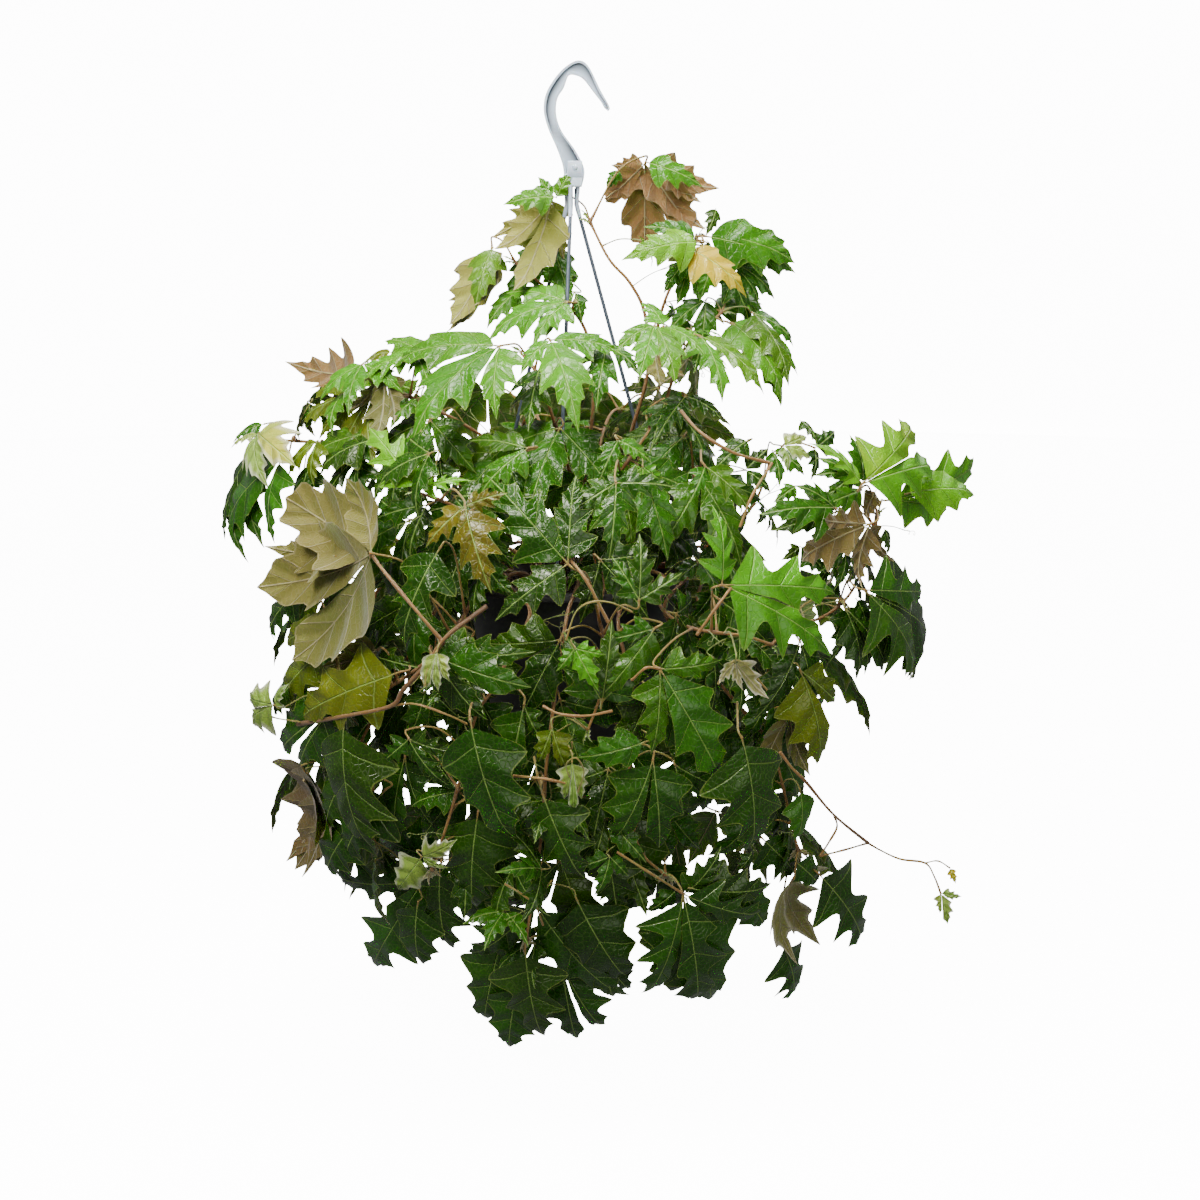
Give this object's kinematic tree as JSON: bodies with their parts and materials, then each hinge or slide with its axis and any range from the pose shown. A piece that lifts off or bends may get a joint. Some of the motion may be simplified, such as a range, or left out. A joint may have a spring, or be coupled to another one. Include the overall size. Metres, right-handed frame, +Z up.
{
  "type": "grape ivy in a hanging pot",
  "caption": "Climbing plant with lobed three-part leaves that spill all round a tapered hanging pot, which a hook carries on thin strands.",
  "frame": {"origin": "the hook's seat, where it hangs on its bar", "axes": "+Z up, -Y towards the plant's front, the hook's plane along X and Z"},
  "size_m": [0.6877, 0.5034, 0.8853],
  "materials": {
    "pot_plastic": "moulded matt",
    "hook_plastic": "moulded satin",
    "strand_plastic": "moulded satin",
    "potting_soil": "moist crumb",
    "living_leaf": "glossy leaf"
  },
  "bodies": {
    "root": {"hanger_hook": "hook_plastic", "hanger_strand_front": "strand_plastic", "hanger_strand_left": "strand_plastic", "hanger_strand_right": "strand_plastic", "pot": "pot_plastic", "shoot_back_1": "living_leaf", "shoot_back_2": "living_leaf", "shoot_back_3": "living_leaf", "shoot_back_4": "living_leaf", "shoot_back_5": "living_leaf", "shoot_back_6": "living_leaf", "shoot_back_7": "living_leaf", "shoot_back_8": "living_leaf", "shoot_back_9": "living_leaf", "shoot_crown_left": "living_leaf", "shoot_crown_right": "living_leaf", "shoot_far_left_low": "living_leaf", "shoot_front_left": "living_leaf", "shoot_front_low": "living_leaf", "shoot_front_middle": "living_leaf", "shoot_front_right_low": "living_leaf", "shoot_left_far": "living_leaf", "shoot_left_front": "living_leaf", "shoot_left_high": "living_leaf", "shoot_left_low": "living_leaf", "shoot_middle_right": "living_leaf", "shoot_middle_top": "living_leaf", "shoot_right_far": "living_leaf", "shoot_right_low": "living_leaf", "shoot_right_middle": "living_leaf", "shoot_right_upper": "living_leaf", "shoot_upper_left": "living_leaf", "shoot_upper_right": "living_leaf", "soil": "potting_soil"}
  },
  "joints": []
}
